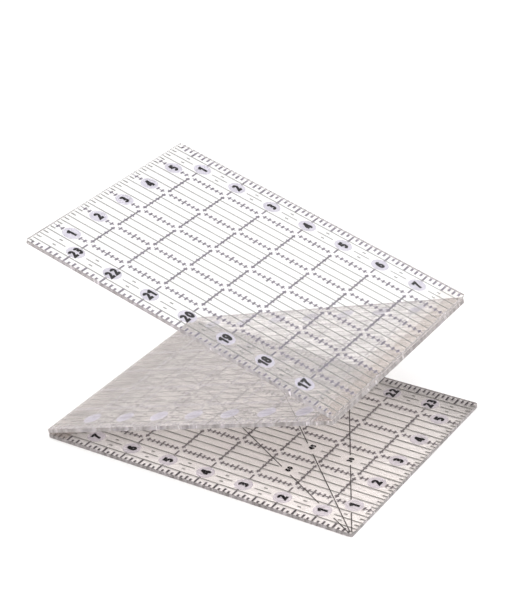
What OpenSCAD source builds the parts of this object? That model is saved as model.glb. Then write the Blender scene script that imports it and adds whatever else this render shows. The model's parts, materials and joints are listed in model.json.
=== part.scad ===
// Folding quilting ruler: three clear acrylic panels joined edge to edge by two
// film hinges, standing part-folded in a Z. Laid flat the panels make one long
// ruler; folded shut they stack into one panel's footprint.
// Millimetres. The bottom panel lies flat, centred on the origin, with its
// underside on Z = 0. X runs along the long edges, Y across the ruler.

/* [Ruler] */
// Length of the whole ruler when it is laid flat, both hinge gaps included
ruler_length = 609.6; // [457.2:25.4:762]
// Width of the ruler, across the long edges
ruler_width = 152.4; // [101.6:25.4:203.2]
// Thickness of the acrylic sheet
panel_t = 2.36; // [2:0.02:4]
// Radius of the four outer corners of the flat ruler
corner_r = 1.5; // [0.5:0.1:4]

/* [Film hinges] */
// Gap between two panel ends when the ruler is laid flat
hinge_gap = 0.8; // [0.6:0.05:1.2]
// Thickness of the hinge film
film_t = 0.2; // [0.1:0.01:0.25]
// Thickness of the transfer adhesive under each film leaf
adhesive_t = 0.05; // [0.04:0.01:0.1]
// Width of each bonded film leaf, from the panel end
leaf_w = 12; // [6:0.5:20]
// How far each end of the film stops short of the ruler's long edge
film_inset = 0.3; // [0:0.1:2]
// Air left between each folded film leaf and the hinge line
fold_clear = 0.05; // [0.03:0.01:0.15]
// How far each end of the adhesive stops short of the film's edges
adhesive_inset = 0.2; // [0:0.1:1]

/* [Fold angles] */
// Opening of the lower fold, between the bottom and the middle panel
lower_open = 18.5; // [4:0.5:170]
// Opening of the upper fold, between the middle and the top panel
upper_open = 34.5; // [4:0.5:170]

/* [Hidden] */
$fn = 48;
// Length of one panel, so that three panels and two gaps make the ruler
panel_len = (ruler_length - 2 * hinge_gap) / 3;
// Height of a hinge line above the panel face that carries its film
axis_off = adhesive_t + film_t + fold_clear;
// Height of the film's middle surface above that face, measured down from the hinge line
film_mid = axis_off - adhesive_t - film_t / 2;
// Half of the gap: distance from a hinge line to the panel end beside it
half_gap = hinge_gap / 2;
// Length of film along the ruler's width
film_len = ruler_width - 2 * film_inset;
// Hinge line of the lower fold
lower_x = -panel_len / 2 - half_gap;
lower_z = panel_t + axis_off;
// Segments along the bend of each film web
web_steps = 20;

// Turns a 2D point about the origin
function turn(p, a) = [p[0] * cos(a) - p[1] * sin(a), p[0] * sin(a) + p[1] * cos(a)];
// Cubic Bezier point, and its direction
function bez(p, u) = pow(1 - u, 3) * p[0] + 3 * u * pow(1 - u, 2) * p[1]
                   + 3 * u * u * (1 - u) * p[2] + pow(u, 3) * p[3];
function bez_dir(p, u) = let(d = 3 * pow(1 - u, 2) * (p[1] - p[0]) + 6 * u * (1 - u) * (p[2] - p[1])
                   + 3 * u * u * (p[3] - p[2])) d / norm(d);
function left_of(d) = [-d[1], d[0]];

// Middle line of a film web in the plane across its hinge line: it leaves one
// leaf end level, bends round the hinge line and joins the other leaf end.
function web_line(open) =
    let(a = [half_gap, -film_mid],
        b = turn([half_gap, film_mid], open),
        reach = norm(b - a) * (0.62 - 0.29 * open / 180))
    [a, a + [-reach, 0], b + turn([-reach, 0], open), b];

// Film web across a hinge line that lies along Y through the origin. The lower
// leaf ends at x = half_gap below the line, the other is turned up by open.
module web(open) {
    c = web_line(open);
    near = [for (i = [0:web_steps]) let(u = i / web_steps) bez(c, u) + left_of(bez_dir(c, u)) * film_t / 2];
    far = [for (i = [web_steps:-1:0]) let(u = i / web_steps) bez(c, u) - left_of(bez_dir(c, u)) * film_t / 2];
    translate([0, film_len / 2, 0])
        rotate([90, 0, 0])
            linear_extrude(film_len)
                polygon(concat(near, far));
}

// Outline of a panel from x = 0, square at both ends
module square_outline() {
    translate([0, -ruler_width / 2]) square([panel_len, ruler_width]);
}

// Outline of an end panel from x = 0, with the two corners at its far end rounded
module end_outline() {
    translate([0, -ruler_width / 2]) square([panel_len - corner_r, ruler_width]);
    translate([0, -ruler_width / 2 + corner_r]) square([panel_len, ruler_width - 2 * corner_r]);
    for (s = [-1, 1])
        translate([panel_len - corner_r, s * (ruler_width / 2 - corner_r)]) circle(corner_r);
}

// A film leaf, from the hinge line's side of a panel end, its face level at z
module leaf_at(z) {
    translate([half_gap, -film_len / 2, z]) cube([leaf_w, film_len, film_t]);
}

// The adhesive between a leaf and its panel
module adhesive_at(z) {
    translate([half_gap + adhesive_inset, -film_len / 2 + adhesive_inset, z])
        cube([leaf_w - 2 * adhesive_inset, film_len - 2 * adhesive_inset, adhesive_t]);
}

// Frame of the lower hinge line, level with the bottom panel
module at_lower_fold() {
    translate([lower_x, 0, lower_z]) children();
}

// Frame of the middle panel: the lower hinge line, turned up by the fold
module on_middle() {
    at_lower_fold() rotate([0, -lower_open, 0]) children();
}

// Frame of the upper hinge line, level with the middle panel. X points back
// along the middle panel and Z away from its print face.
module at_upper_fold() {
    on_middle() translate([panel_len + hinge_gap, 0, panel_t + 2 * axis_off]) rotate([0, 0, 180]) children();
}

// Frame of the top panel: the upper hinge line, turned up by the fold
module on_top() {
    at_upper_fold() rotate([0, -upper_open, 0]) children();
}

// Bottom panel: clear sheet, lies flat, rounded at its free end
module bottom_panel() {
    color([0.86, 0.88, 0.87, 0.55])
        translate([-panel_len / 2, 0, 0]) linear_extrude(panel_t) end_outline();
}

// Middle panel: clear sheet, square at both hinged ends
module middle_panel() {
    color([0.86, 0.85, 0.84, 0.55])
        on_middle() translate([half_gap, 0, axis_off]) linear_extrude(panel_t) square_outline();
}

// Top panel: clear sheet, rounded at its free end
module top_panel() {
    color([0.90, 0.91, 0.92, 0.55])
        on_top() translate([half_gap, 0, axis_off]) linear_extrude(panel_t) end_outline();
}

// Adhesive layers, one under each leaf
module lower_hinge_adhesive_bottom() {
    color([0.93, 0.91, 0.84, 0.6]) at_lower_fold() adhesive_at(-axis_off);
}
module lower_hinge_adhesive_middle() {
    color([0.93, 0.91, 0.84, 0.6]) on_middle() adhesive_at(axis_off - adhesive_t);
}
module upper_hinge_adhesive_middle() {
    color([0.93, 0.91, 0.84, 0.6]) at_upper_fold() adhesive_at(-axis_off);
}
module upper_hinge_adhesive_top() {
    color([0.93, 0.91, 0.84, 0.6]) on_top() adhesive_at(axis_off - adhesive_t);
}

// Film leaves, bonded flat to the panels on both sides of each hinge line
module lower_hinge_leaf_bottom() {
    color([0.78, 0.77, 0.76, 0.5]) at_lower_fold() leaf_at(-axis_off + adhesive_t);
}
module lower_hinge_leaf_middle() {
    color([0.78, 0.77, 0.76, 0.5]) on_middle() leaf_at(axis_off - adhesive_t - film_t);
}
module upper_hinge_leaf_middle() {
    color([0.78, 0.77, 0.76, 0.5]) at_upper_fold() leaf_at(-axis_off + adhesive_t);
}
module upper_hinge_leaf_top() {
    color([0.78, 0.77, 0.76, 0.5]) on_top() leaf_at(axis_off - adhesive_t - film_t);
}

// Film webs, the free bends of film between the leaves
module lower_hinge_web() {
    color([0.70, 0.69, 0.68, 0.5]) at_lower_fold() web(lower_open);
}
module upper_hinge_web() {
    color([0.70, 0.69, 0.68, 0.5]) at_upper_fold() web(upper_open);
}

bottom_panel();
lower_hinge_adhesive_bottom();
lower_hinge_leaf_bottom();
lower_hinge_web();
lower_hinge_adhesive_middle();
lower_hinge_leaf_middle();
middle_panel();
upper_hinge_adhesive_middle();
upper_hinge_leaf_middle();
upper_hinge_web();
upper_hinge_adhesive_top();
upper_hinge_leaf_top();
top_panel();
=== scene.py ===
import json
import math

import bmesh
import bpy
from mathutils import Matrix, Vector

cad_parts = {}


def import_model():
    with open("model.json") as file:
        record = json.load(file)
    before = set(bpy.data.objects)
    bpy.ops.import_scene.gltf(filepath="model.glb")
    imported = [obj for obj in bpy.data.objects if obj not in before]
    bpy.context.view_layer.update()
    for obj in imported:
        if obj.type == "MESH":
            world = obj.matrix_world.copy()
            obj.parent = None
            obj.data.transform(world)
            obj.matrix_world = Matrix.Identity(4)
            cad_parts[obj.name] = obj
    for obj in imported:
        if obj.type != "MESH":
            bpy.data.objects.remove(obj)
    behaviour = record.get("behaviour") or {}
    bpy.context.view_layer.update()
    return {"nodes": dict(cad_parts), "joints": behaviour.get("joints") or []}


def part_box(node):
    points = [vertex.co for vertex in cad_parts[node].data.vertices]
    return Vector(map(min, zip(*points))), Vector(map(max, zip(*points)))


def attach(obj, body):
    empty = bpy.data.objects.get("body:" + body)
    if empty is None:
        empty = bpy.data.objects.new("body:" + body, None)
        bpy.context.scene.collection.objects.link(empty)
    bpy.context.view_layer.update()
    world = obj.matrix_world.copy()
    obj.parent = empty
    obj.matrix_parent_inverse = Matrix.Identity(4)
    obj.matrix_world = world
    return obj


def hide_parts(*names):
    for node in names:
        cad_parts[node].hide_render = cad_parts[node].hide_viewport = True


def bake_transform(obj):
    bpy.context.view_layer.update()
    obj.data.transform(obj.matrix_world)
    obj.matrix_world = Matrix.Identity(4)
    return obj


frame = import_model()

scene = bpy.context.scene
INCH = 25.4

# ------------------------------------------------------------------ the frame
joints = {j["name"]: j for j in frame["joints"]}
lo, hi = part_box("bottom_panel")
PANEL_T = (hi.z - lo.z) * 1000
PANEL_L = (hi.x - lo.x) * 1000
HALF_W = (hi.y - lo.y) * 500
LOWER = (joints["lower_fold"]["pos_m"][0] * 1000, joints["lower_fold"]["pos_m"][2] * 1000)
UPPER = (joints["upper_fold"]["pos_m"][0] * 1000, joints["upper_fold"]["pos_m"][2] * 1000)
A_LOWER = math.radians(-joints["lower_fold"]["range_deg"][0])
A_UPPER = math.radians(-joints["upper_fold"]["range_deg"][0])
HALF_GAP = -PANEL_L / 2 - LOWER[0]
GAP = 2 * HALF_GAP
OFF = LOWER[1] - PANEL_T


def turned(x, z, a):
    return x * math.cos(a) - z * math.sin(a), x * math.sin(a) + z * math.cos(a)


def on_bottom(X, Y, d):
    """A point X, Y inches along and across the ruler, d mm above the bottom panel's print face."""
    return Vector((PANEL_L / 2 - INCH * X, INCH * Y - HALF_W, d)) / 1000


def on_middle(X, Y, d):
    s = INCH * X - PANEL_L - GAP
    x, z = turned(s + HALF_GAP, OFF + PANEL_T - d, A_LOWER)
    return Vector((LOWER[0] + x, INCH * Y - HALF_W, LOWER[1] + z)) / 1000


def on_top(X, Y, d):
    u = INCH * X - 2 * PANEL_L - 2 * GAP
    x, z = turned(-HALF_GAP - u, OFF + d, A_LOWER - A_UPPER)
    return Vector((UPPER[0] + x, INCH * Y - HALF_W, UPPER[1] + z)) / 1000


# ------------------------------------------------------------------ materials
def new_material(name):
    m = bpy.data.materials.new(name)
    m.use_nodes = True
    m.node_tree.nodes.clear()
    return m, m.node_tree.nodes, m.node_tree.links


def noise(nodes, links, coord, scale, detail=3.0, rough=0.5):
    n = nodes.new("ShaderNodeTexNoise")
    n.inputs["Scale"].default_value = scale
    n.inputs["Detail"].default_value = detail
    n.inputs["Roughness"].default_value = rough
    links.new(coord, n.inputs["Vector"])
    return n.outputs["Fac"]


def ramp(nodes, links, fac, stops):
    r = nodes.new("ShaderNodeValToRGB")
    e = r.color_ramp.elements
    e[0].position, e[0].color = stops[0][0], (*stops[0][1], 1)
    e[1].position, e[1].color = stops[-1][0], (*stops[-1][1], 1)
    for p, c in stops[1:-1]:
        k = e.new(p)
        k.color = (*c, 1)
    links.new(fac, r.inputs["Fac"])
    return r.outputs["Color"]


def spread(nodes, links, fac, low, high, from_low=0.3, from_high=0.7):
    r = nodes.new("ShaderNodeMapRange")
    r.inputs["From Min"].default_value = from_low
    r.inputs["From Max"].default_value = from_high
    r.inputs["To Min"].default_value = low
    r.inputs["To Max"].default_value = high
    links.new(fac, r.inputs["Value"])
    return r.outputs["Result"]


def acrylic(name, up, low, high, tint, shadow, side, veil, shade=None, streaky=False,
            sawn=((0.34, 0.31, 0.30), (0.70, 0.66, 0.66))):
    """Clear cast acrylic: polished, faintly scuffed faces square to up, and finely sawn, frosted edges. A given
    shade multiplies painted shade into the face colour, in bands along X and Y.

    The print face, on that side of up, has a faint cloudy coat that lets the veil's share of the light through.
    """
    m, n, l = new_material(name)
    tex = n.new("ShaderNodeTexCoord")
    coord = tex.outputs["Object"]
    dot = n.new("ShaderNodeVectorMath")
    dot.operation = "DOT_PRODUCT"
    dot.inputs[1].default_value = up
    l.new(tex.outputs["Normal"], dot.inputs[0])
    size = n.new("ShaderNodeMath")
    size.operation = "ABSOLUTE"
    l.new(dot.outputs["Value"], size.inputs[0])
    face = spread(n, l, size.outputs["Value"], 0.0, 1.0, 0.45, 0.9)
    printed = spread(n, l, dot.outputs["Value"], 0.0, 1.0, side * 0.45, side * 0.9)
    smear = n.new("ShaderNodeMapping")
    smear.inputs["Scale"].default_value = (0.12, 1.0, 0.12)
    l.new(coord, smear.inputs["Vector"])
    smears = noise(n, l, smear.outputs["Vector"], 480.0, 4.0, 0.65)
    coat = n.new("ShaderNodeMix")
    coat.data_type = "FLOAT"
    coat.inputs[2].default_value = 1.0
    l.new(printed, coat.inputs[0])
    l.new(spread(n, l, smears, veil[0], veil[1], 0.35, 0.65), coat.inputs[3])

    def either(edge, flat, kind="FLOAT"):
        pick = n.new("ShaderNodeMix")
        pick.data_type = kind
        a, b = (2, 3) if kind == "FLOAT" else (6, 7)
        l.new(face, pick.inputs[0])
        for socket, value in ((pick.inputs[a], edge), (pick.inputs[b], flat)):
            if isinstance(value, float):
                socket.default_value = value
            else:
                l.new(value, socket)
        return pick.outputs[0 if kind == "FLOAT" else 2]

    p = n.new("ShaderNodeBsdfPrincipled")
    p.inputs["IOR"].default_value = 1.49
    saw = n.new("ShaderNodeMapping")
    saw.inputs["Scale"].default_value = (1.0, 1.0, 0.12)
    l.new(coord, saw.inputs["Vector"])
    cuts = noise(n, l, saw.outputs["Vector"], 330.0, 5.0, 0.65)
    cloud = noise(n, l, coord, 38.0, 4.0)
    edge_colour = ramp(n, l, cuts, [(0.36, sawn[0]), (0.64, sawn[1])])
    face_colour = ramp(n, l, smears if streaky else cloud, [(0.38, low), (0.54 if streaky else 0.60, high)])
    # Painted shade: the face colour is darkened towards the low-X end and towards the high-Y edge, most strongly
    # on the high-X side.
    if shade:
        along = n.new("ShaderNodeSeparateXYZ")
        l.new(coord, along.inputs["Vector"])
        for axis, reach, stops in (("X", PANEL_L / 2000, shade[0]), ("Y", HALF_W / 1000, shade[1])):
            band = ramp(n, l, spread(n, l, along.outputs[axis], 0.0, 1.0, -reach, reach),
                        [(at, (v, v * 0.995, v * 0.99)) for at, v in stops])
            shaded_face = n.new("ShaderNodeMix")
            shaded_face.data_type, shaded_face.blend_type = "RGBA", "MULTIPLY"
            shaded_face.inputs[0].default_value = 1.0
            if axis == "Y":
                l.new(spread(n, l, along.outputs["X"], 0.35, 1.0, -0.02, 0.06), shaded_face.inputs[0])
            l.new(face_colour, shaded_face.inputs[6])
            l.new(band, shaded_face.inputs[7])
            face_colour = shaded_face.outputs[2]
    l.new(either(edge_colour, face_colour, "RGBA"), p.inputs["Base Color"])
    l.new(either(0.55, coat.outputs[0]), p.inputs["Transmission Weight"])
    stretch = n.new("ShaderNodeMapping")
    stretch.inputs["Scale"].default_value = (1.0, 9.0, 1.0)
    stretch.inputs["Rotation"].default_value = (0.0, 0.0, 0.6)
    l.new(coord, stretch.inputs["Vector"])
    scuff = noise(n, l, stretch.outputs["Vector"], 260.0, 5.0, 0.7)
    l.new(either(spread(n, l, cuts, 0.10, 0.30), spread(n, l, scuff, 0.0, 0.03, 0.5, 0.85)), p.inputs["Roughness"])
    b = n.new("ShaderNodeBump")
    b.inputs["Strength"].default_value = 0.02
    b.inputs["Distance"].default_value = 0.0002
    l.new(either(cuts, noise(n, l, coord, 55.0, 2.0)), b.inputs["Height"])
    l.new(b.outputs["Normal"], p.inputs["Normal"])
    t = n.new("ShaderNodeBsdfTransparent")
    t.inputs["Color"].default_value = (*shadow, 1)
    path = n.new("ShaderNodeLightPath")
    mix = n.new("ShaderNodeMixShader")
    l.new(path.outputs["Is Shadow Ray"], mix.inputs["Fac"])
    l.new(p.outputs["BSDF"], mix.inputs[1])
    l.new(t.outputs["BSDF"], mix.inputs[2])
    v = n.new("ShaderNodeVolumeAbsorption")
    v.inputs["Color"].default_value = (*tint, 1)
    v.inputs["Density"].default_value = 3.0
    out = n.new("ShaderNodeOutputMaterial")
    l.new(mix.outputs["Shader"], out.inputs["Surface"])
    l.new(v.outputs["Volume"], out.inputs["Volume"])
    return m


def film(name, colour_low, colour_high, alpha, rough, tint=(1.0, 1.0, 1.0)):
    """Clear film or adhesive: mostly see-through, with a cloudy, satin surface."""
    m, n, l = new_material(name)
    coord = n.new("ShaderNodeTexCoord").outputs["Object"]
    p = n.new("ShaderNodeBsdfPrincipled")
    p.inputs["IOR"].default_value = 1.45
    stretch = n.new("ShaderNodeMapping")
    stretch.inputs["Scale"].default_value = (6.0, 1.0, 6.0)
    l.new(coord, stretch.inputs["Vector"])
    streak = noise(n, l, stretch.outputs["Vector"], 90.0, 4.0)
    l.new(ramp(n, l, streak, [(0.3, colour_low), (0.7, colour_high)]), p.inputs["Base Color"])
    l.new(spread(n, l, noise(n, l, coord, 400.0, 4.0), rough - 0.08, rough + 0.1), p.inputs["Roughness"])
    b = n.new("ShaderNodeBump")
    b.inputs["Strength"].default_value = 0.05
    b.inputs["Distance"].default_value = 0.0001
    l.new(streak, b.inputs["Height"])
    l.new(b.outputs["Normal"], p.inputs["Normal"])
    t = n.new("ShaderNodeBsdfTransparent")
    t.inputs["Color"].default_value = (*tint, 1)
    mix = n.new("ShaderNodeMixShader")
    l.new(spread(n, l, streak, alpha * 0.7, alpha * 1.3), mix.inputs["Fac"])
    l.new(t.outputs["BSDF"], mix.inputs[1])
    l.new(p.outputs["BSDF"], mix.inputs[2])
    out = n.new("ShaderNodeOutputMaterial")
    l.new(mix.outputs["Shader"], out.inputs["Surface"])
    return m


def ink(name, low, high, rough=0.5, grain=900.0, cover=1.0):
    """Screen-printed ink: a little uneven in cover, with a fine matt grain."""
    m, n, l = new_material(name)
    coord = n.new("ShaderNodeTexCoord").outputs["Object"]
    p = n.new("ShaderNodeBsdfPrincipled")
    p.inputs["IOR"].default_value = 1.5
    p.inputs["Specular IOR Level"].default_value = 0.1
    patch = noise(n, l, coord, grain, 5.0, 0.6)
    l.new(ramp(n, l, patch, [(0.3, low), (0.7, high)]), p.inputs["Base Color"])
    l.new(spread(n, l, noise(n, l, coord, grain * 2.3, 2.0), rough - 0.08, rough + 0.12), p.inputs["Roughness"])
    b = n.new("ShaderNodeBump")
    b.inputs["Strength"].default_value = 0.2
    b.inputs["Distance"].default_value = 0.00002
    l.new(patch, b.inputs["Height"])
    l.new(b.outputs["Normal"], p.inputs["Normal"])
    out = n.new("ShaderNodeOutputMaterial")
    if cover == 1.0:
        l.new(p.outputs["BSDF"], out.inputs["Surface"])
        return m
    t = n.new("ShaderNodeBsdfTransparent")
    mix = n.new("ShaderNodeMixShader")
    l.new(spread(n, l, patch, cover - 0.05, cover + 0.05), mix.inputs["Fac"])
    l.new(t.outputs["BSDF"], mix.inputs[1])
    l.new(p.outputs["BSDF"], mix.inputs[2])
    l.new(mix.outputs["Shader"], out.inputs["Surface"])
    return m


def upright(tilt):
    return Vector((-math.sin(tilt), 0.0, math.cos(tilt)))


# Bottom panel: a warmer copy of the same acrylic, with painted shade darkening its face colour towards the lower
# hinge and along its far edge.
M_BOTTOM_SHADED = acrylic("clear_acrylic_bottom_painted_shade", upright(0.0), (0.985, 0.955, 0.946), (1.0, 0.973, 0.965),
                   (0.62, 0.56, 0.52), (0.97, 0.96, 0.955), -1, (0.98, 1.0),
                   ([(0.0, 0.67), (0.06, 0.73), (0.12, 0.82), (0.30, 0.955), (0.6, 0.985), (1.0, 0.97)],
                    [(0.0, 1.0), (0.6, 0.96), (0.85, 0.84), (0.97, 0.64), (1.0, 0.66)]),
                   sawn=((0.20, 0.18, 0.17), (0.58, 0.545, 0.54)))
# Middle panel: a darker, streaked copy of the same acrylic; its dark face colour is painted shade for the grey the
# panel takes on inside the fold.
M_MIDDLE_SHADED = acrylic("clear_acrylic_middle_painted_shade", upright(A_LOWER), (0.60, 0.573, 0.563), (0.945, 0.913, 0.902),
                   (0.62, 0.56, 0.52), (0.93, 0.915, 0.91), 1, (0.78, 0.93), streaky=True)
M_TOP = acrylic("clear_acrylic_top", upright(A_LOWER - A_UPPER), (0.975, 0.972, 0.97), (0.995, 0.995, 0.995),
                (0.60, 0.58, 0.58), (0.985, 0.98, 0.98), -1, (0.72, 0.80))
M_FILM = film("hinge_film_clear", (0.66, 0.62, 0.60), (0.80, 0.77, 0.75), 0.04, 0.25, (0.94, 0.925, 0.915))
# The lower hinge film is a darker copy of the same film: painted shade for the narrow wedge at the lower hinge.
M_FILM_LOWER_SHADED = film("hinge_film_lower_painted_shade", (0.58, 0.545, 0.53), (0.72, 0.69, 0.67), 0.06, 0.25, (0.91, 0.895, 0.885))
M_WEB = film("hinge_film_bend", (0.44, 0.41, 0.40), (0.64, 0.60, 0.585), 0.35, 0.28)
M_GLUE = film("transfer_adhesive_clear", (0.80, 0.78, 0.74), (0.90, 0.88, 0.84), 0.015, 0.5)
M_BLACK = ink("black_ink", (0.004, 0.0035, 0.0045), (0.014, 0.012, 0.015))
# One grid ink and one fine-line ink, copied per panel and made lighter or darker as painted light and shade; the
# middle panel's lines are darkest.
LINES_PAINTED_LIGHT = {
    "bottom": ink("grid_ink_bottom_painted_light", (0.180, 0.166, 0.168), (0.230, 0.213, 0.216)),
    "middle": ink("grid_ink_middle_painted_light", (0.110, 0.101, 0.103), (0.150, 0.138, 0.141)),
    "top": ink("grid_ink_top_painted_light", (0.185, 0.170, 0.205), (0.235, 0.218, 0.262)),
}
M_DARK = ink("dark_line_ink", (0.060, 0.053, 0.053), (0.100, 0.090, 0.091))
FINES_PAINTED_LIGHT = {
    "bottom": ink("fine_line_ink_bottom_painted_light", (0.310, 0.305, 0.290), (0.360, 0.355, 0.340)),
    "middle": ink("fine_line_ink_middle_painted_light", (0.230, 0.225, 0.214), (0.280, 0.275, 0.262)),
    "top": ink("fine_line_ink_top_painted_light", (0.270, 0.270, 0.262), (0.330, 0.332, 0.320)),
}
# One lavender ink, copied per panel and made lighter or darker as painted light and shade: lightest on the bottom
# panel, darkest on the top.
DISCS_PAINTED_LIGHT = {
    "bottom": ink("lavender_ink_bottom", (0.85, 0.81, 0.88), (0.92, 0.88, 0.95), 0.5, 500.0, 0.42),
    "middle": ink("lavender_ink_middle", (0.74, 0.72, 0.88), (0.81, 0.79, 0.94), 0.5, 500.0, 0.42),
    "top": ink("lavender_ink_top", (0.70, 0.675, 0.77), (0.77, 0.745, 0.84), 0.5, 500.0, 0.64),
}
M_HALO = ink("pale_lavender_ink", (0.72, 0.68, 0.73), (0.79, 0.75, 0.80), 0.5, 500.0, 0.60)
M_HALO_MIDDLE = ink("pale_lavender_ink_middle", (0.72, 0.68, 0.73), (0.79, 0.75, 0.80), 0.5, 500.0, 0.42)


def paint(o, material):
    o.data.materials.clear()
    o.data.materials.append(material)


for node, material in (("bottom_panel", M_BOTTOM_SHADED), ("middle_panel", M_MIDDLE_SHADED), ("top_panel", M_TOP)):
    o = frame["nodes"][node]
    paint(o, material)
    bevel = o.modifiers.new("edge_arris", "BEVEL")
    bevel.width = 0.00012
    bevel.segments = 2
    bevel.limit_method = "ANGLE"
    bevel.angle_limit = math.radians(50)
for node, o in frame["nodes"].items():
    if "leaf" in node or "adhesive" in node:
        paint(o, M_GLUE if "adhesive" in node else M_FILM_LOWER_SHADED if "lower" in node else M_FILM)
        skin = o.modifiers.new("skin_gap", "DISPLACE")
        skin.mid_level = 0.0
        skin.strength = -0.000008
    elif "web" in node:
        paint(o, M_WEB)


# ------------------------------------------------------------------ mesh helpers
def make_object(name, verts, faces, material):
    me = bpy.data.meshes.new(name)
    me.from_pydata([tuple(v) for v in verts], [], faces)
    bm = bmesh.new()
    bm.from_mesh(me)
    bmesh.ops.recalc_face_normals(bm, faces=bm.faces)
    bm.to_mesh(me)
    bm.free()
    me.materials.append(material)
    me.update()
    o = bpy.data.objects.new(name, me)
    scene.collection.objects.link(o)
    return o


def ribbon(path, w, closed=False):
    """Both sides of a stroke of width w along a 2D path, mitred at its corners."""
    n = len(path)
    left, right = [], []
    for i in range(n):
        if closed:
            a, b, c = path[i - 1], path[i], path[(i + 1) % n]
        else:
            a, b, c = path[max(i - 1, 0)], path[i], path[min(i + 1, n - 1)]
        d1 = Vector((b[0] - a[0], b[1] - a[1]))
        d2 = Vector((c[0] - b[0], c[1] - b[1]))
        d1 = d1.normalized() if d1.length > 1e-9 else d2.normalized()
        d2 = d2.normalized() if d2.length > 1e-9 else d1
        n1, n2 = Vector((-d1.y, d1.x)), Vector((-d2.y, d2.x))
        m = (n1 + n2).normalized()
        k = w / 2 / max(m.dot(n1), 0.4)
        left.append((b[0] + m.x * k, b[1] + m.y * k))
        right.append((b[0] - m.x * k, b[1] - m.y * k))
    return left, right


def stroke_mesh(path, w, closed=False):
    left, right = ribbon(path, w, closed)
    n = len(path)
    verts = [(*p, 0.0) for p in left] + [(*p, 0.0) for p in right]
    verts += [(*p, 1.0) for p in left] + [(*p, 1.0) for p in right]
    L0, R0, L1, R1 = 0, n, 2 * n, 3 * n
    faces = []
    for i in range(n if closed else n - 1):
        j = (i + 1) % n
        faces += [(L1 + i, R1 + i, R1 + j, L1 + j), (L0 + i, L0 + j, R0 + j, R0 + i),
                  (L0 + i, L1 + i, L1 + j, L0 + j), (R0 + i, R0 + j, R1 + j, R1 + i)]
    if not closed:
        faces += [(L0, R0, R1, L1), (L0 + n - 1, L1 + n - 1, R1 + n - 1, R0 + n - 1)]
    return verts, faces


def union(parts):
    """One closed mesh from overlapping strokes."""
    objects = [make_object("stroke_tmp", v, f, M_BLACK) for v, f in parts]
    base = objects[0]
    for o in objects[1:]:
        m = base.modifiers.new("join", "BOOLEAN")
        m.operation, m.solver, m.object = "UNION", "EXACT", o
    bpy.context.view_layer.update()
    dg = bpy.context.evaluated_depsgraph_get()
    me = base.evaluated_get(dg).to_mesh()
    verts = [tuple(v.co) for v in me.vertices]
    faces = [tuple(p.vertices) for p in me.polygons]
    base.evaluated_get(dg).to_mesh_clear()
    for o in objects:
        data = o.data
        bpy.data.objects.remove(o)
        bpy.data.meshes.remove(data)
    return verts, faces


# ------------------------------------------------------------------ numerals
STROKE = 0.28
DIGIT_W = 0.66


def arc(cx, cy, rx, ry, a0, a1, steps=14):
    return [(cx + rx * math.cos(math.radians(a0 + (a1 - a0) * i / steps)),
             cy + ry * math.sin(math.radians(a0 + (a1 - a0) * i / steps))) for i in range(steps + 1)]


def ring(cx, cy, rx, ry, steps=28):
    return [(cx + rx * math.cos(2 * math.pi * i / steps), cy + ry * math.sin(2 * math.pi * i / steps))
            for i in range(steps)]


def numeral(ch):
    h = STROKE / 2
    w = DIGIT_W
    cx = w / 2
    rx = w / 2 - h
    low_r, up_r = (1 - STROKE) * 0.29, (1 - STROKE) * 0.25
    six = [(ring(cx, h + low_r, rx, low_r), True),
           (arc(cx + 0.02, h + low_r + 0.04, rx + 0.02, 1 - 2 * h - low_r - 0.04, 180, 42), False)]
    strokes = {
        "0": [(ring(cx, 0.5, rx, 0.5 - h), True)],
        "1": [([(0.29, 0.0), (0.29, 1.0)], False), ([(-0.03, 0.70), (0.14, 0.77), (0.29, 0.92)], False)],
        "2": [(arc(cx, 1 - h - up_r * 1.05, rx * 0.98, up_r * 1.05, 165, -32)
               + [(h + 0.04, h), (w - 0.01, h)], False)],
        "3": [(arc(cx - 0.01, 1 - h - up_r * 0.92, rx * 0.93, up_r * 0.92, 155, -78) + [(cx - 0.11, 0.55)], False),
              ([(cx - 0.11, 0.55)] + arc(cx - 0.01, h + low_r * 0.94, rx, low_r * 0.94, 78, -155), False)],
        "4": [([(0.47, 0.0), (0.47, 1.0)], False), ([(0.43, 0.95), (0.07, 0.33)], False),
              ([(0.0, 0.30), (w + 0.01, 0.30)], False)],
        "5": [([(w - 0.06, 1 - h), (0.17, 1 - h), (0.125, 0.47)], False),
              (arc(cx - 0.01, h + low_r * 1.02, rx, low_r * 1.02, 145, -150), False)],
        "6": six,
        "7": [([(0.02, 1 - h), (w - 0.10, 1 - h)], False),
              ([(w - 0.09, 1.0), (w - 0.11, 0.86), (0.36, 0.52), (0.22, 0.0)], False)],
        "8": [(ring(cx, 1 - h - up_r * 0.92, rx * 0.90, up_r * 0.92), True),
              (ring(cx, h + low_r * 0.95, rx, low_r * 0.95), True)],
        "9": [([(w - x, 1 - y) for x, y in p], c) for p, c in six],
    }[ch]
    return union([stroke_mesh(p, STROKE, c) for p, c in strokes])


NUMERALS = {ch: numeral(ch) for ch in "0123456789"}
WIDTHS = {ch: (0.42 if ch == "1" else DIGIT_W) for ch in "0123456789"}


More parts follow.
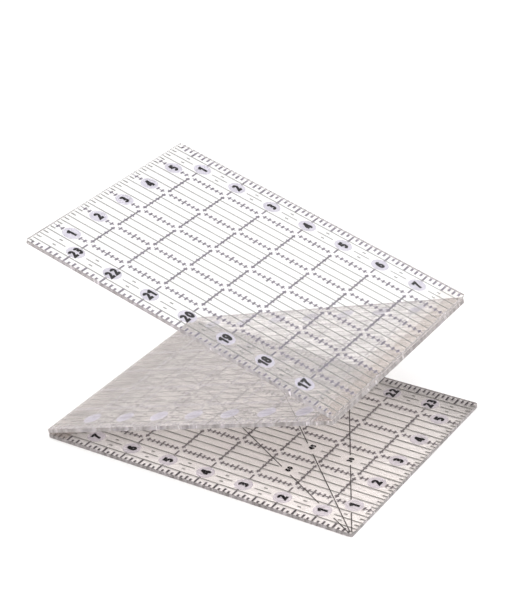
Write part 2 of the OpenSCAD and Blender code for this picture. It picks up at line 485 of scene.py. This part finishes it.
# ------------------------------------------------------------------ the printed scale
class Print:
    """Thin closed prisms of ink, in inches on the ruler and mm above the print face."""

    def __init__(self, place, x0, x1):
        self.place, self.x0, self.x1 = place, x0, x1
        self.layers = {}

    def add(self, layer, verts, faces):
        v, f = self.layers.setdefault(layer, ([], []))
        k = len(v)
        v.extend(self.place(*p) for p in verts)
        f.extend(tuple(i + k for i in face) for face in faces)

    def poly(self, layer, points, d):
        n = len(points)
        verts = [(x, y, d[0]) for x, y in points] + [(x, y, d[1]) for x, y in points]
        faces = [tuple(range(n)), tuple(range(2 * n - 1, n - 1, -1))]
        faces += [(i, (i + 1) % n, n + (i + 1) % n, n + i) for i in range(n)]
        self.add(layer, verts, faces)

    def bar(self, layer, xa, xb, ya, yb, d):
        xa, xb = max(min(xa, xb), self.x0), min(max(xa, xb), self.x1)
        if xb - xa > 1e-4 and abs(yb - ya) > 1e-4:
            self.poly(layer, [(xa, ya), (xb, ya), (xb, yb), (xa, yb)], d)

    def bold(self, xa, xb, ya, yb, rim=0.006, layer="grid"):
        """A bar with a slightly wider pale underprint, which hides it from the print face."""
        self.bar(layer, xa, xb, ya, yb, D_BOLD)
        self.bar("halo", min(xa, xb) - rim, max(xa, xb) + rim, max(min(ya, yb) - rim, EDGE / 2),
                 min(max(ya, yb) + rim, 6 - EDGE / 2), D_DISC)

    def disc(self, layer, x, y, r, d, steps=44):
        self.poly(layer, [(x + r * math.cos(2 * math.pi * i / steps), y + r * math.sin(2 * math.pi * i / steps))
                          for i in range(steps)], d)

    def number(self, layer, text, x, y, cap, d, gap=0.085):
        total = sum(WIDTHS[c] for c in text) + gap * (len(text) - 1)
        off = -total / 2
        for c in text:
            verts, faces = NUMERALS[c]
            self.add(layer, [(x + (gy - 0.5) * cap, y + (off + gx) * cap, d[0] + (d[1] - d[0]) * gz)
                             for gx, gy, gz in verts], faces)
            off += WIDTHS[c] + gap


D_DISC = (0.030, 0.045)
D_BOLD = (0.055, 0.070)
D_FINE = (0.078, 0.090)
D_ANGLE = (0.098, 0.110)
D_NUM = (0.120, 0.135)
W_FINE = 0.032
W_GRID = 0.037
W_TICK = 0.041
W_ANGLE = 0.022
EDGE = 0.012


def spans(a, b, holes):
    """The stretches of a..b that no hole covers."""
    out = []
    for h0, h1 in sorted(holes):
        if h0 > a:
            out.append((a, min(h0, b)))
        a = max(a, h1)
        if a >= b:
            return out
    out.append((a, b))
    return out


def scale(place, first, x0, x1, free_low, free_high, angles, edge_tick):
    """One panel's share of the scale. first is the whole inch at its low end."""
    pr = Print(place, x0, x1)
    whole = list(range(first + 1, first + 8))
    ends = ([0.5] if free_low else []) + ([23.5] if free_high else [])
    labels = [(n, 0.5, str(n)) for n in whole] + [(n, 5.5, str(24 - n)) for n in whole]
    labels += [(e, k, str(k)) for e in ends for k in range(1, 6)]

    # number discs and numbers
    for x, y, text in labels:
        pr.disc("disc", x, y, 0.212, D_DISC)
        pr.number("number", text, x, y, 0.245, D_NUM)

    # angle lines from the free corner
    small = []
    if angles:
        small = [(2.45, 1.515, "60"), (2.45, 2.54, "45"), (1.44, 2.50, "30")]
        for x, y, text in small:
            pr.number("number", text, x, y, 0.135, D_NUM)
        runs = {30: [(0.10, 0.65), (1.20, 2.30), (2.64, x1)],
                45: [(0.10, 2.30), (2.62, 6.0 - EDGE)],
                60: [(0.07, 0.42), (0.66, 1.34), (1.54, (6.0 - EDGE) / math.tan(math.radians(60)))]}
        for deg, parts in runs.items():
            t = math.tan(math.radians(deg))
            nx, ny = -math.sin(math.radians(deg)) * W_ANGLE / 2, math.cos(math.radians(deg)) * W_ANGLE / 2
            for a, b in parts:
                pr.poly("dark", [(a + nx, a * t + ny), (a - nx, a * t - ny), (b - nx, b * t - ny), (b + nx, b * t + ny)],
                        D_ANGLE)

    # quarter-inch lines along the ruler
    for k in range(1, 24):
        if k % 4 == 0:
            continue
        y = k / 4
        holes = [(x - 0.285, x + 0.285) for x, ly, _ in labels if abs(ly - y) < 0.1]
        holes += [(x - 0.255, x + 0.255) for x, ly, _ in small if abs(ly - y) < 0.1]
        for a, b in spans(x0 + EDGE, x1 - EDGE, holes):
            pr.bar("fine", a, b, y - W_FINE / 2, y + W_FINE / 2, D_FINE)

    # inch rows along the ruler: a hairline with a tick at every eighth
    for y in range(1, 6):
        holes = [(n - 0.060, n + 0.060) for n in whole] + [(e - 0.225, e + 0.225) for e in ends]
        for a, b in spans(x0 + EDGE, x1 - EDGE, holes):
            pr.bold(a, b, y - 0.010, y + 0.010)
        for k in range(first * 8 + 1, first * 8 + 64):
            if k % 8 == 0:
                continue
            x = k / 8
            if any(abs(x - e) < 0.24 for e in ends) or not x0 + 0.05 < x < x1 - 0.05:
                continue
            half = 0.100 if k % 4 == 0 else 0.060
            for s in (-1, 1):
                pr.bold(x - W_TICK / 2, x + W_TICK / 2, y + s * 0.010, y + s * half)

    # inch lines across the ruler, broken where they meet the rows
    for n in whole:
        for a, b in [(0.725, 0.940)] + [(k + 0.060, k + 0.940) for k in range(1, 5)] + [(5.060, 5.275)]:
            pr.bold(n - W_GRID / 2, n + W_GRID / 2, a, b)
        for k in range(9, 40, 2):
            y = k / 8
            for s in (-1, 1):
                pr.bold(n + s * W_GRID / 2, n + s * 0.045, y - W_TICK / 2, y + W_TICK / 2)

    # edge ticks at every eighth along both long edges
    for k in range(first * 8 + 1, first * 8 + 64):
        x = k / 8
        if k % 8 == 0:
            length, w = 0.285, W_GRID
        else:
            length, w = (0.245 if k % 4 == 0 else 0.175 if k % 2 == 0 else 0.125), edge_tick
        for ya, yb in ((EDGE, length), (6 - EDGE, 6 - length)):
            pr.bold(x - w / 2, x + w / 2, ya, yb, 0.011, "dark" if angles else "grid")
    # short dashes midway between the numbers
    for k in range(first, first + 8):
        x = k + 0.5
        for y in (0.375, 0.625, 5.375, 5.625):
            pr.bar("fine", x - 0.045, x + 0.045, y - W_TICK / 2, y + W_TICK / 2, D_FINE)

    # dashes at the odd eighths along the free end
    for free, a, b in ((free_low, EDGE, 0.145), (free_high, 24 - EDGE, 24 - 0.145)):
        if free:
            for k in range(1, 48, 2):
                y = k / 8
                pr.bar("fine", a, b, y - W_TICK / 2, y + W_TICK / 2, D_FINE)
    return pr


PANELS = {
    "bottom": (on_bottom, 0, 0.0, PANEL_L / INCH, True, False, True, 0.044),
    "middle": (on_middle, 8, (PANEL_L + GAP) / INCH, (2 * PANEL_L + GAP) / INCH, False, False, False, W_TICK),
    "top": (on_top, 16, (2 * PANEL_L + 2 * GAP) / INCH, 24.0, False, True, False, W_TICK),
}
LAYERS = {"disc": ("number_discs", None), "halo": ("pale_bands", None), "grid": ("inch_grid_and_ticks", None),
          "fine": ("quarter_inch_lines", None), "dark": ("angle_lines_and_edge_ticks", M_DARK), "number": ("numbers", M_BLACK)}
for body, args in PANELS.items():
    pr = scale(*args)
    for layer, (verts, faces) in pr.layers.items():
        word, material = LAYERS[layer]
        if layer == "disc":
            material = DISCS_PAINTED_LIGHT[body]
        elif layer == "fine":
            material = FINES_PAINTED_LIGHT[body]
        elif layer == "grid":
            material = LINES_PAINTED_LIGHT[body]
        elif layer == "halo":
            material = M_HALO_MIDDLE if body == "middle" else M_HALO
        o = make_object(f"{body}_{word}", verts, faces, material)
        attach(o, body)


# ------------------------------------------------------------------ film webs bent across the folds
def web_piece(name, node, origin, base_angle, opening, mirror, thick=0.2, mid=0.15):
    """The free bend of film across a hinge line, as one thin closed strip from leaf to leaf."""
    a = Vector((HALF_GAP, -mid))
    b = Vector(turned(HALF_GAP, mid, opening))
    reach = (b - a).length * (0.62 - 0.29 * math.degrees(opening) / 180)
    c = [a, a + Vector((-reach, 0)), b + Vector(turned(-reach, 0, opening)), b]

    def point(u):
        return (1 - u) ** 3 * c[0] + 3 * u * (1 - u) ** 2 * c[1] + 3 * u * u * (1 - u) * c[2] + u ** 3 * c[3]

    def heading(u):
        d = 3 * (1 - u) ** 2 * (c[1] - c[0]) + 6 * u * (1 - u) * (c[2] - c[1]) + 3 * u * u * (c[3] - c[2])
        return d.normalized()

    steps, rows = 28, 48
    w0, w1 = -HALF_W + 0.3, HALF_W - 0.3
    verts, faces = [], []

    def world(p, y):
        x = -p.x if mirror else p.x
        x, z = turned(x, p.y, base_angle)
        return Vector((origin[0] + x, y, origin[1] + z)) / 1000

    for j in range(rows + 1):
        y = w0 + (w1 - w0) * j / rows
        for side in (1, -1):
            for i in range(steps + 1):
                u = i / steps
                t = heading(u)
                verts.append(world(point(u) + Vector((-t.y, t.x)) * side * thick / 2, y))
    per = 2 * (steps + 1)
    loop = list(range(steps + 1)) + [steps + 1 + i for i in range(steps, -1, -1)]
    for j in range(rows):
        for k in range(len(loop)):
            p, q = loop[k], loop[(k + 1) % len(loop)]
            faces.append((j * per + p, j * per + q, (j + 1) * per + q, (j + 1) * per + p))
    for j in (0, rows):
        for i in range(steps):
            faces.append((j * per + i, j * per + i + 1, j * per + steps + 2 + i, j * per + steps + 1 + i))
    o = make_object(name, verts, faces, M_WEB)
    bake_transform(o)
    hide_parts(node)
    return o


web_piece("lower_film_web", "lower_hinge_web", LOWER, 0.0, A_LOWER, False)
web_piece("upper_film_web", "upper_hinge_web", UPPER, A_LOWER, A_UPPER, True)

# ------------------------------------------------------------------ floor, light and camera
m, n, l = new_material("pale_floor")
coord = n.new("ShaderNodeTexCoord").outputs["Object"]
p = n.new("ShaderNodeBsdfPrincipled")
p.inputs["Specular IOR Level"].default_value = 0.0
l.new(ramp(n, l, noise(n, l, coord, 1.5, 2.0), [(0.3, (0.925, 0.925, 0.925)), (0.7, (0.94, 0.94, 0.94))]), p.inputs["Base Color"])
l.new(spread(n, l, noise(n, l, coord, 20.0, 2.0), 0.8, 0.95), p.inputs["Roughness"])
out = n.new("ShaderNodeOutputMaterial")
l.new(p.outputs["BSDF"], out.inputs["Surface"])
floor = make_object("floor", [(-8, -8, -0.0004), (8, -8, -0.0004), (8, 8, -0.0004), (-8, 8, -0.0004)], [(0, 1, 2, 3)], m)

world = bpy.data.worlds.new("studio")
world.use_nodes = True
wn, wl = world.node_tree.nodes, world.node_tree.links
wn.clear()
direction = wn.new("ShaderNodeTexCoord").outputs["Generated"]
parts = wn.new("ShaderNodeSeparateXYZ")
wl.new(direction, parts.inputs["Vector"])
sky = ramp(wn, wl, parts.outputs["Z"], [(0.0, (1.12, 1.055, 1.03)), (0.20, (1.05, 1.02, 1.01)), (1.0, (1.10, 1.10, 1.10))])
toward = wn.new("ShaderNodeVectorMath")
toward.operation = "DOT_PRODUCT"
toward.inputs[1].default_value = (-0.4808, 0.7395, 0.4711)
wl.new(direction, toward.inputs[0])
card = ramp(wn, wl, toward.outputs["Value"], [(0.915, (1.0, 1.0, 1.0)), (0.975, (0.28, 0.275, 0.27))])
both = wn.new("ShaderNodeMix")
both.data_type = "RGBA"
both.blend_type = "MULTIPLY"
both.inputs[0].default_value = 1.0
wl.new(sky, both.inputs[6])
wl.new(card, both.inputs[7])
sky = both.outputs[2]
bg = wn.new("ShaderNodeBackground")
bg.inputs["Strength"].default_value = 1.0
wl.new(sky, bg.inputs["Color"])
wo = wn.new("ShaderNodeOutputWorld")
wl.new(bg.outputs["Background"], wo.inputs["Surface"])
scene.world = world


def softbox(name, at, target, size, power):
    light = bpy.data.lights.new(name, "AREA")
    light.shape = "RECTANGLE"
    light.size, light.size_y = size
    light.energy = power
    o = bpy.data.objects.new(name, light)
    o.location = at
    o.rotation_euler = (Vector(target) - Vector(at)).to_track_quat("-Z", "Y").to_euler()
    scene.collection.objects.link(o)
    return o


softbox("key_softbox", (0.9, -0.9, 1.5), (0, 0, 0.05), (1.4, 1.4), 18.0)

camera = bpy.data.cameras.new("camera")
camera.sensor_fit = "HORIZONTAL"
camera.sensor_width = 36.0
camera.lens = 1817.37 / 510 * 36
camera.clip_start = 0.05
camera.clip_end = 50
cam = bpy.data.objects.new("camera", camera)
right = Vector((0.8469753, 0.5307062, -0.0313644))
up = Vector((-0.2268082, 0.4140706, 0.8815348))
back = Vector((0.4808231, -0.7395245, 0.4710761))
cam.matrix_world = Matrix(((right.x, up.x, back.x, 0.4935557), (right.y, up.y, back.y, -0.7655395),
                           (right.z, up.z, back.z, 0.5680766), (0, 0, 0, 1)))
scene.collection.objects.link(cam)
scene.camera = cam

scene.view_settings.view_transform = "Standard"
scene.cycles.max_bounces = 32
scene.cycles.transmission_bounces = 32
scene.cycles.transparent_max_bounces = 48
scene.cycles.glossy_bounces = 12
scene.cycles.diffuse_bounces = 5
scene.cycles.volume_bounces = 0

bpy.context.view_layer.update()
